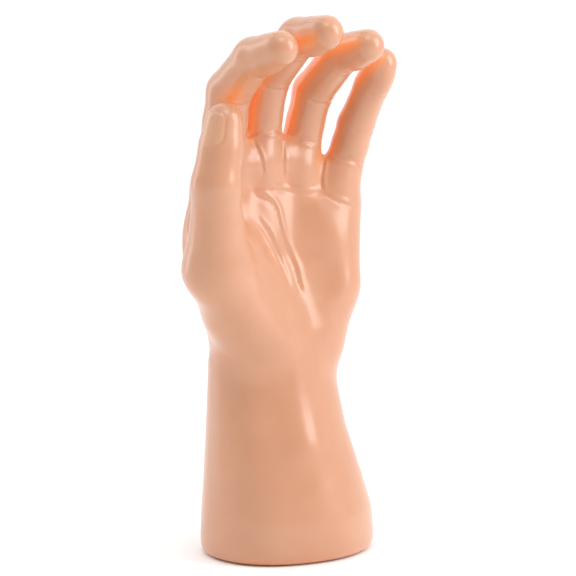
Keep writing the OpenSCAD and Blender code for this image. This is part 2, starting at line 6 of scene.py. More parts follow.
import bpy
import numpy as np
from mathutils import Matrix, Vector


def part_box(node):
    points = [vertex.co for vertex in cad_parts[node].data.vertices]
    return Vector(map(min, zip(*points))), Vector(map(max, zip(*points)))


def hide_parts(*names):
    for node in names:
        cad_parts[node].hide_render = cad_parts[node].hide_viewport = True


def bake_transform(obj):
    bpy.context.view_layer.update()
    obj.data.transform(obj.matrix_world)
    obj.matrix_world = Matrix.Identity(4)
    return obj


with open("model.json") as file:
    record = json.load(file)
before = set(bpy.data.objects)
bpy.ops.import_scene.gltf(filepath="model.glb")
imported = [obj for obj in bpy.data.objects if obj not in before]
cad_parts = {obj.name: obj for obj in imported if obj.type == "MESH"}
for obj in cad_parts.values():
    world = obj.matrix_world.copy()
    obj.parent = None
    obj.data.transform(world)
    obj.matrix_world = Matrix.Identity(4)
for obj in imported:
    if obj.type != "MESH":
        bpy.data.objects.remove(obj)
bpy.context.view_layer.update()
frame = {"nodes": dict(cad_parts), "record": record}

# ---- sculpt: a distance field in millimetres, negative inside ----

MM = 0.001
GRID_STEP = 0.8          # spacing of the grid, and so of the glove's vertices
SOFTEN = 1.1             # how far sharp changes of form are smoothed over
FAR = 60.0               # value of the field where nothing has been added
FIELD_LOW, FIELD_HIGH = (-76, -66, -6), (58, 46, 262)
MARGIN = 3               # room round a shape in which the field is worked out

# Joints of a finger: the root at its knuckle, then bones of (length, flexion from upright
# towards the palm, lean towards the little finger), with the radius at every joint.
FINGERS = {
    "index": {
        "root": (-34.0, 4.0, 174.0),
        "bones": ((33, 12, -2), (14, 14, -2), (25, 50, -2), (20, 76, -1)),
        "radii": (12.0, 10.2, 10.2, 9.4, 8.0),
    },
    "middle": {
        "root": (-12.0, 6.0, 178.0),
        "bones": ((31, 11, -1), (18, 15, 1), (29, 50, -1), (20, 82, -1)),
        "radii": (12.0, 9.6, 10.0, 9.2, 8.0),
    },
    "ring": {
        "root": (9.0, 5.0, 172.0),
        "bones": ((33, 12, 4), (15, 18, 3), (28, 49, -1), (18.5, 78, -1)),
        "radii": (11.0, 8.9, 9.5, 8.9, 7.8),
    },
    "little": {
        "root": (29.6, 1.0, 163.0),
        "bones": ((32, 19, 4), (10, 20, 3), (21.5, 30, 1), (13.5, 36, -4)),
        "radii": (10.4, 8.6, 8.6, 8.0, 7.1),
    },
}
FINGER_SIDE = (0.998, 0.052, 0.0)
FINGER_TURN = 3.0        # how far the fingers curl round towards the little finger, in degrees
THUMB_JOINTS = ((-20, -5, 108), (-46.5, -13.5, 140), (-54.5, -24, 180), (-50.5, -25, 208))
THUMB_RADII = (17.0, 15.3, 10.2, 8.6)
THUMB_SIDE = (-0.22, 0.975, 0.0)

# Height, middle across, middle in depth, half width, half depth and squareness of the forearm.
FOREARM = (
    (-20, 2.5, 0.0, 42.9, 35.6, 2.15),
    (8, 2.5, 0.0, 42.9, 35.6, 2.15),
    (20, 2.0, 0.0, 42.3, 34.8, 2.15),
    (35, 0.3, 0.5, 39.5, 32.6, 2.15),
    (60, -2.8, 2.0, 34.7, 28.2, 2.15),
    (80, -4.0, 3.2, 32.7, 25.2, 2.1),
    (92, -4.2, 3.8, 31.6, 24.2, 2.1),
    (98, -3.8, 4.0, 30.0, 23.6, 2.1),
    (108, -4.0, 4.0, 30.8, 23.0, 2.1),
    (122, -3.5, 3.5, 35.0, 19.0, 2.2),
    (140, -3.0, 3.0, 34.0, 12.0, 2.2),
)
PLATE_SQUARENESS = 2.3
FOREARM_TOP = 134.0
BASE_ROUNDING = 8.0
CARPALS = {"index": (-19, 3, 104), "middle": (-9, 4, 102), "ring": (1, 4, 102), "little": (12, 3, 104)}


def unit(v):
    """The vector scaled to length one."""
    v = np.asarray(v, float)
    return v / np.linalg.norm(v)


def finger_joints(finger):
    """Joint points of a finger from its root to the middle of its fingertip."""
    points = [np.array(finger["root"], float)]
    for length, flexion, lean in finger["bones"]:
        bend, tilt, turn = (math.radians(angle) for angle in (flexion, lean, FINGER_TURN))
        x, y, z = math.sin(turn) * math.sin(bend), -math.cos(turn) * math.sin(bend), math.cos(bend)
        leant = (x * math.cos(tilt) + z * math.sin(tilt), y, z * math.cos(tilt) - x * math.sin(tilt))
        points.append(points[-1] + length * np.array(leant))
    return points


DIGITS = {
    name: {"joints": finger_joints(finger), "radii": finger["radii"], "side": unit(FINGER_SIDE)}
    for name, finger in FINGERS.items()
}
DIGITS["thumb"] = {
    "joints": [np.array(joint, float) for joint in THUMB_JOINTS],
    "radii": THUMB_RADII,
    "side": unit(THUMB_SIDE),
}


def smooth_min(a, b, k):
    """The smaller of a and b, rounded over k where they are nearly equal."""
    if k <= 0:
        return np.minimum(a, b)
    h = np.clip(k - np.abs(a - b), 0, None) / k
    return np.minimum(a, b) - h * h * h * (k / 6)


class Field:
    """A signed distance field on a regular grid."""

    def __init__(self, low, high, step):
        self.low = np.array(low, float)
        self.step = float(step)
        self.shape = tuple(int(n) for n in np.ceil((np.array(high) - self.low) / step) + 1)
        self.values = np.full(self.shape, FAR, np.float32)

    def twin(self):
        """An empty field on the same grid."""
        other = Field.__new__(Field)
        other.low, other.step, other.shape = self.low, self.step, self.shape
        other.values = np.full(self.shape, FAR, np.float32)
        return other

    def window(self, low, high):
        """The part of the grid between two corners, and its coordinates."""
        a = np.clip(np.floor((np.array(low) - self.low) / self.step).astype(int), 0, self.shape)
        b = np.clip(np.ceil((np.array(high) - self.low) / self.step).astype(int) + 1, 0, self.shape)
        axes = [(self.low[i] + self.step * np.arange(a[i], b[i])).astype(np.float32) for i in range(3)]
        return tuple(slice(p, q) for p, q in zip(a, b)), np.meshgrid(*axes, indexing="ij", sparse=True)

    def add(self, shape, k):
        """Joins a shape on, with a fillet of about k."""
        (low, high), distance = shape
        where, xyz = self.window(np.array(low) - k - MARGIN, np.array(high) + k + MARGIN)
        self.values[where] = smooth_min(self.values[where], distance(*xyz), k)

    def cut(self, shape, k):
        """Takes a shape away, with rounded edges of about k."""
        (low, high), distance = shape
        where, xyz = self.window(np.array(low) - k - MARGIN, np.array(high) + k + MARGIN)
        self.values[where] = -smooth_min(-self.values[where], distance(*xyz), k)

    def soften(self, sigma):
        """Blurs the field, which rounds off its sharp changes."""
        reach = int(math.ceil(2.5 * sigma / self.step))
        offsets = np.arange(-reach, reach + 1)
        weights = np.exp(-0.5 * (offsets * self.step / sigma) ** 2)
        weights /= weights.sum()
        for axis in range(3):
            padding = [(reach, reach) if a == axis else (0, 0) for a in range(3)]
            padded = np.pad(self.values, padding, mode="edge")
            total = np.zeros(self.shape, np.float32)
            for offset, weight in zip(offsets, weights):
                part = [slice(None)] * 3
                part[axis] = slice(offset + reach, offset + reach + self.shape[axis])
                total += np.float32(weight) * padded[tuple(part)]
            self.values = total

    def sample(self, points, grid=None):
        """The value at each point, between the grid's own, of the field or of another grid."""
        grid = self.values if grid is None else grid
        g = (points - self.low) / self.step
        g = np.clip(g, 0, np.array(self.shape) - 1.001)
        i = np.floor(g).astype(int)
        t = g - i
        total = np.zeros(len(points))
        for corner in range(8):
            offset = np.array([corner & 1, corner >> 1 & 1, corner >> 2 & 1])
            weight = np.prod(np.where(offset, t, 1 - t), axis=1)
            total += weight * grid[tuple((i + offset).T)]
        return total

    def slopes(self):
        """The three grids of the field's slope."""
        return [g.astype(np.float32) for g in np.gradient(self.values, self.step)]


def bone(p, q, r1, r2):
    """A tapered capsule from p to q."""
    p, q = np.array(p, float), np.array(q, float)
    length = np.linalg.norm(q - p)
    axis = (q - p) / length
    big = max(r1, r2)

    def distance(x, y, z):
        dx, dy, dz = x - p[0], y - p[1], z - p[2]
        t = dx * axis[0] + dy * axis[1] + dz * axis[2]
        h = np.clip(t / length, 0, 1)
        along = t - h * length
        across = np.maximum(dx * dx + dy * dy + dz * dz - t * t, 0)
        return np.sqrt(across + along * along) - (r1 + (r2 - r1) * h)

    return (np.minimum(p, q) - big, np.maximum(p, q) + big), distance


def ball(centre, radii, turn=None):
    """An ellipsoid; the rows of turn are its own axes."""
    centre, radii = np.array(centre, float), np.array(radii, float)
    turn = np.eye(3) if turn is None else np.array(turn, float)

    def distance(x, y, z):
        dx, dy, dz = x - centre[0], y - centre[1], z - centre[2]
        local = [dx * m[0] + dy * m[1] + dz * m[2] for m in turn]
        k0 = np.sqrt(sum((c / r) ** 2 for c, r in zip(local, radii)))
        k1 = np.sqrt(sum((c / r ** 2) ** 2 for c, r in zip(local, radii))) + 1e-6
        return k0 * (k0 - 1) / k1

    return (centre - radii.max(), centre + radii.max()), distance


def forearm():
    """The forearm, from below the base up into the heel of the hand."""
    rows = np.array(FOREARM, float)

    def distance(x, y, z):
        level = [np.interp(z.ravel(), rows[:, 0], rows[:, c]).reshape(z.shape) for c in range(1, 6)]
        cx, cy, a, b, p = level
        u, v = np.abs(x - cx) / a, np.abs(y - cy) / b
        n = (u ** p + v ** p) ** (1 / p) + 1e-6
        slope = np.sqrt((u / a) ** 2 + (v / b) ** 2) / n + 1e-6
        return np.maximum((n - 1) / slope * 0.95, z - FOREARM_TOP)

    return ((-60, -50, -8), (60, 50, 140)), distance


def frame_of(digit, k):
    """Direction, side and back of the digit's bone k."""
    joints = digit["joints"]
    along = unit(joints[k + 1] - joints[k])
    side = unit(digit["side"] - (digit["side"] @ along) * along)
    return along, side, np.cross(along, side)


# The soft ridge down the front of the forearm.
RIDGE = (
    bone((-10, -10, 110), (-5, -17.5, 54), 5, 6),
    bone((-5, -17.5, 54), (7, -24, 12), 6, 7),
)
RIDGE_FILLET = 18
CARPAL_RADII, CARPAL_FILLET = (13.5, 12.5), 8
# Shapes of the palm, each with the fillet that joins it on.
PALM_SHAPES = (
    (ball((-6, 2, 146), (42, 13, 38)), 10),                       # body of the hand
    (bone((15.5, -2, 102), (22.5, -4, 126), 15.5, 14.4), 10),     # the little finger's side
    (bone((22.5, -4, 126), (27, -1, 166), 14.6, 12.8), 10),
    (ball((17, -6, 146), (17, 10.5, 24)), 12),
    (ball((-29.5, -5, 118), (16, 14, 15)), 14),                   # heel of the thumb
    (ball((-39.5, 4, 150), (13, 10, 25)), 10),                    # the index finger's side
    (ball((-23.5, 0, 186), (9, 9, 11)), 5),                       # webs between the fingers
    (ball((-2, 0, 187), (9, 9, 11)), 5),
    (ball((20, -2, 176), (8, 9, 9)), 5),
)
# Pads at the foot of the fingers.
PADS = ((-14.5, -2.4, 188), (7.5, -2.9, 183), (27, -7.6, 177), (-31, -1, 186))
PAD_RADII, PAD_FILLET = (9.2, 7.9, 13.5), 8
# Knuckles: how far along the first bone and how far towards the back, and their radii.
KNUCKLE_ALONG, KNUCKLE_BACK, KNUCKLE_RADII, KNUCKLE_FILLET = 3, 6.5, (7.5, 6.2, 9), 7
THUMB_FILLET = 9
THUMB_PAD_ALONG, THUMB_PAD_BACK, THUMB_PAD_RADII, THUMB_PAD_FILLET = 15, -0.6, (9.9, 9.8, 14), 6
# The ball of the thumb, and the fold of skin from it to the index finger.
THUMB_MUSCLES = (
    (bone((-13, -7, 118), (-33, -8, 148), 10, 11), 9),
    (bone((-33, -8, 146), (-38, -6, 152), 9, 7), 7),
)
PALM_HOLLOW, HOLLOW_FILLET = bone((-5, -27, 170), (6, -31, 132), 15, 15), 9
FINGERTIP_BACK, FINGERTIP_WIDTH, FINGERTIP_RADII = -1.5, 0.95, (8, 11)
JOINT_FILLET, FINGERTIP_FILLET = 3, 4
BETWEEN_FINGERS_FILLET, FINGERS_TO_PALM_FILLET, PALM_TO_FOREARM_FILLET = 1.2, 5, 14


def add_palm(hand):
    """The palm, with its webs, pads and knuckles."""
    for name, carpal in CARPALS.items():
        hand.add(bone(carpal, DIGITS[name]["joints"][0], *CARPAL_RADII), CARPAL_FILLET)
    for shape, fillet in PALM_SHAPES:
        hand.add(shape, fillet)
    for centre in PADS:
        hand.add(ball(centre, PAD_RADII), PAD_FILLET)
    for name in FINGERS:
        along, side, back = frame_of(DIGITS[name], 0)
        centre = DIGITS[name]["joints"][0] + KNUCKLE_ALONG * along + KNUCKLE_BACK * back
        hand.add(ball(centre, KNUCKLE_RADII, (side, back, along)), KNUCKLE_FILLET)


def add_thumb(hand):
    """The thumb, its pad and its muscles in the palm."""
    joints = DIGITS["thumb"]["joints"]
    for p, q, r1, r2 in zip(joints, joints[1:], THUMB_RADII, THUMB_RADII[1:]):
        hand.add(bone(p, q, r1, r2), THUMB_FILLET)
    along, side, back = frame_of(DIGITS["thumb"], 2)
    centre = joints[2] + THUMB_PAD_ALONG * along + THUMB_PAD_BACK * back
    hand.add(ball(centre, THUMB_PAD_RADII, (side, back, along)), THUMB_PAD_FILLET)
    for shape, fillet in THUMB_MUSCLES:
        hand.add(shape, fillet)


def add_finger(finger, digit):
    """One finger from its root to its tip, with the pad of the tip."""
    joints, radii = digit["joints"], digit["radii"]
    for p, q, r1, r2 in zip(joints, joints[1:], radii, radii[1:]):
        finger.add(bone(p, q, r1, r2), JOINT_FILLET)
    along, side, back = frame_of(digit, 3)
    pad = joints[3] + 0.5 * (joints[4] - joints[3]) + FINGERTIP_BACK * back
    size = (radii[4] * FINGERTIP_WIDTH,) + FINGERTIP_RADII
    finger.add(ball(pad, size, (side, back, along)), FINGERTIP_FILLET)


def build_field(step):
    """The whole hand at rest."""
    whole = Field(FIELD_LOW, FIELD_HIGH, step)
    whole.add(forearm(), 0)
    for shape in RIDGE:
        whole.add(shape, RIDGE_FILLET)
    hand = whole.twin()
    add_palm(hand)
    add_thumb(hand)
    hand.cut(PALM_HOLLOW, HOLLOW_FILLET)
    fingers = whole.twin()
    for name in FINGERS:
        finger = whole.twin()
        add_finger(finger, DIGITS[name])
        fingers.values = smooth_min(fingers.values, finger.values, BETWEEN_FINGERS_FILLET)
    hand.values = smooth_min(hand.values, fingers.values, FINGERS_TO_PALM_FILLET)
    whole.values = smooth_min(whole.values, hand.values, PALM_TO_FOREARM_FILLET)
    height = (whole.low[2] + step * np.arange(whole.shape[2])).astype(np.float32)
    above_base = np.broadcast_to(height, whole.shape)
    whole.values = -smooth_min(-whole.values, above_base, BASE_ROUNDING)
    whole.soften(SOFTEN)
    return whole


def surface(field):
    """Quads over the zero level of a field, one vertex in each cell that it crosses."""
    inside = field.values < 0
    cells = tuple(n - 1 for n in field.shape)
    corners = [np.array([c & 1, c >> 1 & 1, c >> 2 & 1]) for c in range(8)]
    count = np.zeros(cells, np.uint8)
    for c in corners:
        count += inside[tuple(slice(o, o + n) for o, n in zip(c, cells))]
    active = (count > 0) & (count < 8)
    index = np.full(cells, -1, np.int64)
    index[active] = np.arange(active.sum())
    cell = np.argwhere(active)
    total = np.zeros((len(cell), 3))
    crossings = np.zeros(len(cell))
    for i, ca in enumerate(corners):
        for cb in corners[i + 1:]:
            if np.abs(ca - cb).sum() != 1:
                continue
            va = field.values[tuple((cell + ca).T)]
            vb = field.values[tuple((cell + cb).T)]
            cross = (va < 0) != (vb < 0)
            t = np.where(cross, va / np.where(cross, va - vb, 1), 0)
            total[cross] += (ca + t[:, None] * (cb - ca))[cross]
            crossings[cross] += 1
    points = field.low + field.step * (cell + total / crossings[:, None])
    faces = []
    for axis in range(3):
        others = [a for a in range(3) if a != axis]
        low, high = [slice(None)] * 3, [slice(None)] * 3
        low[axis], high[axis] = slice(0, -1), slice(1, None)
        a, b = inside[tuple(low)], inside[tuple(high)]
        for flip, mask in ((False, a & ~b), (True, ~a & b)):
            edge = np.argwhere(mask)
            quad = []
            for s, t in ((0, 0), (1, 0), (1, 1), (0, 1)):
                corner = edge.copy()
                corner[:, others[0]] -= s
                corner[:, others[1]] -= t
                quad.append(index[tuple(corner.T)])
            quad = np.stack(quad, 1)
            faces.append(quad[:, ::-1] if flip ^ (axis == 1) else quad)
    return points, np.concatenate(faces)


def settle(field, slopes, points, rounds=4):
    """Points moved onto the surface, and the outward direction there."""
    for _ in range(rounds):
        g = np.stack([field.sample(points, s) for s in slopes], 1)
        square = np.maximum((g * g).sum(1), 0.05)
        points = points - g * np.clip(field.sample(points) / square, -2, 2)[:, None]
    g = np.stack([field.sample(points, s) for s in slopes], 1)
    return points, g / (np.linalg.norm(g, axis=1, keepdims=True) + 1e-9)


# ---- relief: folds, creases and nails, as heights over the sculpt in millimetres ----

# Lines of the palm: half width, depth, heights of the lips to the right and the left as one
# goes along it, and the points that it passes by.
PALM_LINES = (
    # across under the fingers
    (0.9, 0.35, 0.0, 0.35, ((-16, -8, 174), (-7.7, -8.2, 173), (3.5, -8.6, 171.3), (14.5, -7.9, 169.2),
                            (22.6, -10.5, 165.6), (30, -11.8, 162.6))),
    # round the ball of the thumb, with the folds beside it
    (1.3, 0.24, 0.0, 0.34, ((-24, -7, 172), (-20, -7.7, 171), (-15.5, -8.6, 169), (-11.9, -9.7, 165.4),
                          (-10.5, -10.4, 159.7), (-8.3, -11.3, 150.3), (-3.9, -11.7, 139.7),
                          (-1.9, -14.4, 129), (-0.9, -15.8, 123.5))),
    (1.1, 0.12, 0.0, 0.14, ((-19, -9.7, 159), (-14.3, -10.9, 150.7), (-9.5, -12.2, 138.8),
                            (-7.3, -15.5, 126.3))),
    (1.1, 0.12, 0.0, 0.12, ((-22.7, -9.2, 162.8), (-17.5, -10.6, 154.6), (-12.3, -11.3, 145),
                            (-8.9, -13.8, 131.9))),
    (1.0, 0.12, 0.0, 0.12, ((-26.2, -10.2, 158.5), (-19.8, -10.6, 149.7), (-14.8, -11.6, 140.6),
                            (-12.4, -14.6, 129.9))),
    # between the pads
    (0.8, 0.35, 0.0, 0.2, ((-22, -5.3, 198), (-20, -5.8, 191.5), (-18.2, -6, 185.4), (-17.2, -7, 180))),
    (0.8, 0.35, 0.0, 0.25, ((-7, -5.9, 198), (-6, -3.5, 191), (-5.8, -3.7, 184), (-6.6, -6.6, 177.7))),
    (0.8, 0.35, 0.0, 0.3, ((18.4, -5.6, 187), (17.4, -5.4, 178.7), (16.2, -7.8, 172), (14.8, -7.8, 168))),
    # where the fingers leave the palm
    (1.0, 0.55, 0.25, 0.0, ((-29, -11, 201), (-19, -8.1, 200.8))),
    (1.0, 0.55, 0.25, 0.0, ((-19, -9.5, 200.5), (-9, -10, 201.0), (-4, -4.8, 200))),
    (1.0, 0.55, 0.25, 0.0, ((0.2, -6, 198.4), (6, -9.8, 196), (14, -10, 193.5))),
    (1.0, 0.55, 0.25, 0.0, ((21, -9.7, 188.5), (29, -15.7, 185.5), (40, -12, 181.5))),
)
# Creases across the front of the joints: digit, bone, half angle round it, half width and depth.
JOINT_CREASES = tuple(
    (finger,) + row for finger in FINGERS for row in ((2, 60, 0.8, 0.25), (3, 55, 0.8, 0.2))
) + (("thumb", 2, 55, 0.9, 0.2),)
FRONT, BACK = -1, 1
# Folds over the back of a joint: shift along the bone and depth.
KNUCKLE_FOLDS = ((-2.6, 0.16), (-0.9, 0.3), (0.9, 0.3), (2.6, 0.16))
FOLD_HALF_ANGLE, FOLD_NARROWING = 48, 7       # and how much smaller the angle is for each mm of shift
# Nails: digit, bone, middle along the bone, half length, half width round the finger.
NAILS = (
    ("thumb", 2, 24.5, 7.6, 6.8),
    ("index", 3, 19.0, 6.0, 5.7),
    ("middle", 3, 19.0, 6.2, 5.9),
    ("ring", 3, 17.5, 5.9, 5.6),
    ("little", 3, 13.5, 5.2, 4.9),
)
NAIL_CORNER, NAIL_ROOT_CORNER = 3.6, 2.2      # radius of the corners, and how much more at the root
NAIL_RISE, NAIL_TIP_RISE = 0.15, 1.2          # height of the plate, and how much more of it at the tip
NAIL_TIP_START, NAIL_TIP_SHARPNESS = 0.72, 9
NAIL_EDGE, NAIL_MASK_EDGE = 0.22, 0.25        # softness of the edge, in height and in colour
# Depth or height, place outside the nail's edge, and width.
NAIL_GROOVE = (0.2, -0.1, 0.55)
NAIL_FOLD = (0.16, 1.5, 1.1)
NAIL_SHELF = (0.2, 0.0, 1.3)
LIP_PLACE, LIP_WIDTH = 1.9, 0.8               # of a crease's lips, in half widths of the crease
THUMB_FOLDS, TIP_FOLDS, MIDDLE_FOLDS = 0.15, 0.3, 0.7    # share of their depth, over each joint's back
JOINT_LIP, KNUCKLE_LIP, KNUCKLE_FOLD_WIDTH = 0.1, 0.04, 0.7
JOINT_FADE = 4.0         # length over which a joint's crease fades out at its ends
SLOPE_REACH = 0.12       # distance over which the relief's slope is measured


def spline(points, spacing=0.8):
    """Points along a smooth curve through the given ones."""
    p = np.array(points, float)
    p = np.concatenate([[2 * p[0] - p[1]], p, [2 * p[-1] - p[-2]]])
    out = []
    for a, b, c, d in zip(p[:-3], p[1:-2], p[2:-1], p[3:]):
        t = np.linspace(0, 1, max(3, int(np.linalg.norm(c - b) / spacing)), endpoint=False)[:, None]
        bend, twist = 2 * a - 5 * b + 4 * c - d, 3 * b - a - 3 * c + d
        out.append((2 * b + (c - a) * t + bend * t ** 2 + twist * t ** 3) / 2)
    return np.concatenate(out + [p[-2:-1]])


class Crease:
    """A groove along a line on the skin, with a raised lip on either side."""

    def __init__(self, field, slopes, points, width, depth, right=0.0, left=0.0, fade=5.0):
        self.line, normals = settle(field, slopes, spline(points), 8)
        self.width, self.depth, self.lips, self.fade = width, depth, (right, left), fade
        steps = np.diff(self.line, axis=0)
        self.runs = np.concatenate([[0], np.cumsum(np.linalg.norm(steps, axis=1))])
        self.sides = np.cross(steps, normals[:-1])
        self.reach = 4.5 * width

    def near(self, p):
        """Whether each point is close enough to be shaped by the crease."""
        low, high = self.line.min(0) - self.reach, self.line.max(0) + self.reach
        return np.all((p > low) & (p < high), axis=1)

    def height(self, p):
        """The relief at each point."""
        best = np.full(len(p), 1e9)
        run, side = np.zeros(len(p)), np.zeros(len(p))
        for a, d, r, s in zip(self.line[:-1], np.diff(self.line, axis=0), self.runs[:-1], self.sides):
            size = np.linalg.norm(d)
            t = np.clip((p - a) @ d / size ** 2, 0, 1)
            distance = np.linalg.norm(p - a - t[:, None] * d, axis=1)
            closer = distance < best
            best = np.where(closer, distance, best)
            run = np.where(closer, r + t * size, run)
            side = np.where(closer, (p - a) @ s, side)
        end = np.clip(np.minimum(run, self.runs[-1] - run) / self.fade, 0, 1)
        strength = end * end * (3 - 2 * end)
        u = best / self.width
        lip = np.where(side > 0, self.lips[0], self.lips[1])
        lip = lip * np.exp(-0.5 * ((u - LIP_PLACE) / LIP_WIDTH) ** 2)
        return strength * (lip - self.depth * np.exp(-0.5 * u * u))


class Nail:
    """A nail in its fold of skin, laid round the back of a digit."""

    def __init__(self, digit, bone_number, middle, half_length, half_width):
        d = DIGITS[digit]
        self.along, self.side, self.back = frame_of(d, bone_number)
        self.centre = d["joints"][bone_number] + middle * self.along
        self.radius = d["radii"][-1]
        self.half = (half_width, half_length)

    def near(self, p):
        """Whether each point is close enough to be shaped by the nail."""
        v = p - self.centre
        return (np.linalg.norm(v, axis=1) < 18) & (v @ self.back > 0.5)

    def outside(self, p):
        """Distance outside the nail's outline, and place along it from its root."""
        v = p - self.centre
        across = np.arctan2(v @ self.side, v @ self.back) * self.radius
        along = v @ self.along
        root = np.clip(-along / self.half[1], 0, 1)
        corner = NAIL_CORNER + NAIL_ROOT_CORNER * root
        x = np.abs(across) - self.half[0] + corner
        y = np.abs(along) - self.half[1] + corner
        distance = np.hypot(np.maximum(x, 0), np.maximum(y, 0)) + np.minimum(np.maximum(x, y), 0) - corner
        return distance, along / self.half[1]

    def height(self, p):
        """The relief at each point."""
        d, along = self.outside(p)
        tip = 1 / (1 + np.exp(-NAIL_TIP_SHARPNESS * (along - NAIL_TIP_START)))
        plate = 1 / (1 + np.exp(np.clip(d / NAIL_EDGE, -30, 30)))
        groove, fold, shelf = (
            depth * np.exp(-((d - place) / width) ** 2)
            for depth, place, width in (NAIL_GROOVE, NAIL_FOLD, NAIL_SHELF)
        )
        raised = NAIL_RISE * plate * (1 + NAIL_TIP_RISE * tip) - groove * (1 - 0.5 * tip)
        return raised + fold * (1 - tip) - shelf * (d > 0) * tip

    def mask(self, p):
        """One on the nail's plate and nought off it."""
        return 1 / (1 + np.exp(np.clip(self.outside(p)[0] / NAIL_MASK_EDGE, -30, 30)))


def across_digit(name, k, half_angle, face, shift=0.0):
    """Points round the front or back of a digit, where a crease of its joint runs."""
    digit = DIGITS[name]
    along, side, back = frame_of(digit, k)
    if k > 0:
        before = frame_of(digit, k - 1)
        back = unit(back + before[2])
        along = unit(along + before[0])
    radius = digit["radii"][k]
    centre = digit["joints"][k] + shift * along
    angles = np.radians(np.linspace(-half_angle, half_angle, 7))
    return [centre + radius * (math.sin(a) * side + face * math.cos(a) * back) for a in angles]


def build_relief(field, slopes):
    """Every crease and nail of the hand."""
    relief = [Crease(field, slopes, points, w, d, right, left) for w, d, right, left, points in PALM_LINES]
    for name, k, half_angle, w, d in JOINT_CREASES:
        points = across_digit(name, k, half_angle, FRONT)
        relief.append(Crease(field, slopes, points, w, d, JOINT_LIP, JOINT_LIP, JOINT_FADE))
    for name in DIGITS:
        for k in ((2,) if name == "thumb" else (2, 3)):
            softer = THUMB_FOLDS if name == "thumb" else TIP_FOLDS if k == 3 else MIDDLE_FOLDS
            for shift, depth in KNUCKLE_FOLDS:
                half_angle = FOLD_HALF_ANGLE - FOLD_NARROWING * abs(shift)
                points = across_digit(name, k, half_angle, BACK, shift)
                relief.append(Crease(field, slopes, points, KNUCKLE_FOLD_WIDTH, depth * softer,
                                     KNUCKLE_LIP, KNUCKLE_LIP, JOINT_FADE))
    relief += [Nail(*row) for row in NAILS]
    return relief


def raise_relief(points, normals, relief):
    """Points moved out by the relief, their normals, and masks of the nails and the creases; the creases'
    mask sets painted shade.
    """
    helper = np.where(np.abs(normals[:, 2:]) < 0.9, [[0, 0, 1.0]], [[1.0, 0, 0]])
    u = np.cross(normals, helper)
    u /= np.linalg.norm(u, axis=1, keepdims=True)
    v = np.cross(normals, u)
    height = np.zeros(len(points))
    slope_u, slope_v, crease, nail = (np.zeros(len(points)) for _ in range(4))
    for item in relief:
        at = np.flatnonzero(item.near(points))
        if not len(at):
            continue
        p = points[at]
        h = item.height(p)
        height[at] += h
        slope_u[at] += (item.height(p + SLOPE_REACH * u[at]) - h) / SLOPE_REACH
        slope_v[at] += (item.height(p + SLOPE_REACH * v[at]) - h) / SLOPE_REACH
        if isinstance(item, Nail):
            nail[at] = np.maximum(nail[at], item.mask(p))
        else:
            crease[at] = np.maximum(crease[at], -h)
    moved = points + height[:, None] * normals
    turned = normals - slope_u[:, None] * u - slope_v[:, None] * v
    turned /= np.linalg.norm(turned, axis=1, keepdims=True)
    return moved, turned, nail, crease


# ---- pieces of the glove ----

# Each digit's skin leaves the palm's on a plane across a bone: the bone, how far along it the
# plane lies, the length of the stretch from there, and how far the plane leans (degrees)
# away from the palm, which keeps it clear of the web.
SEAMS = {
    "index": (0, 28.0, 11.0, 0.0),
    "middle": (0, 25.5, 11.0, 0.0),
    "ring": (0, 27.5, 11.0, 0.0),
    "little": (0, 27.5, 10.5, 0.0),
    "thumb": (1, 15.0, 13.0, 30.0),
}
# Corners of the base plate's box, in millimetres.
PLATE_LOW, PLATE_HIGH = (np.array(corner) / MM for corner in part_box("base_plate"))
OPENING_IN = 2.4         # from the edge of the base plate in to the edge of the glove under it
OPENING_TOP = 10.0
OPENING_ROUNDING = 0.8
SEAM_SHIFT = 2.0         # the furthest that a point is moved to reach its seam's plane
# Painted glow of bounced and shone-through light in the gaps: how far out other skin is looked for, and
# how much each distance counts.
PAINTED_GLOW_REACHES = ((3, 0.25), (6, 0.3), (10, 0.3), (15, 0.15))
PAINTED_GLOW_LIMIT = 1.3


def base_opening():
    """The opening in the bottom of the glove where the base plate shows."""
    cx, cy = (PLATE_LOW[:2] + PLATE_HIGH[:2]) / 2
    a, b = (PLATE_HIGH[:2] - PLATE_LOW[:2]) / 2 - OPENING_IN

    def distance(x, y, z):
        n = PLATE_SQUARENESS
        r = (np.abs((x - cx) / a) ** n + np.abs((y - cy) / b) ** n) ** (1 / n)
        return np.maximum((r - 1) * b, z - OPENING_TOP)

    return ((cx - a, cy - b, FIELD_LOW[2]), (cx + a, cy + b, OPENING_TOP)), distance


def chain_distance(points, digit):
    """Distance from each point to the skin of a bare digit."""
    best = np.full(len(points), 1e9)
    joints, radii = digit["joints"], digit["radii"]
    for p, q, r1, r2 in zip(joints, joints[1:], radii, radii[1:]):
        t = np.clip((points - p) @ (q - p) / ((q - p) @ (q - p)), 0, 1)
        distance = np.linalg.norm(points - p - t[:, None] * (q - p), axis=1) - (r1 + (r2 - r1) * t)
        best = np.minimum(best, distance)
    return best


def seam_of(name):
    """Start and end points of the stretch past a digit's seam."""
    k, start, length, lean = SEAMS[name]
    along = frame_of(DIGITS[name], k)[0]
    first = DIGITS[name]["joints"][k] + start * along
    down = unit(along * along[2] - np.array((0.0, 0.0, 1.0)))
    angle = math.radians(lean)
    return first, first + length * (math.cos(angle) * along + math.sin(angle) * down)


def owners(points, faces):
    """For each face, the number of the digit that it belongs to, or -1 for the palm."""
    middle = points[faces].mean(1)
    distances = np.stack([chain_distance(middle, DIGITS[name]) for name in SEAMS], 1)
    nearest = distances.argmin(1)
    owner = np.full(len(faces), -1)
    for i, name in enumerate(SEAMS):
        start, end = seam_of(name)
        owner[(nearest == i) & ((middle - start) @ unit(end - start) > 0)] = i
    return owner


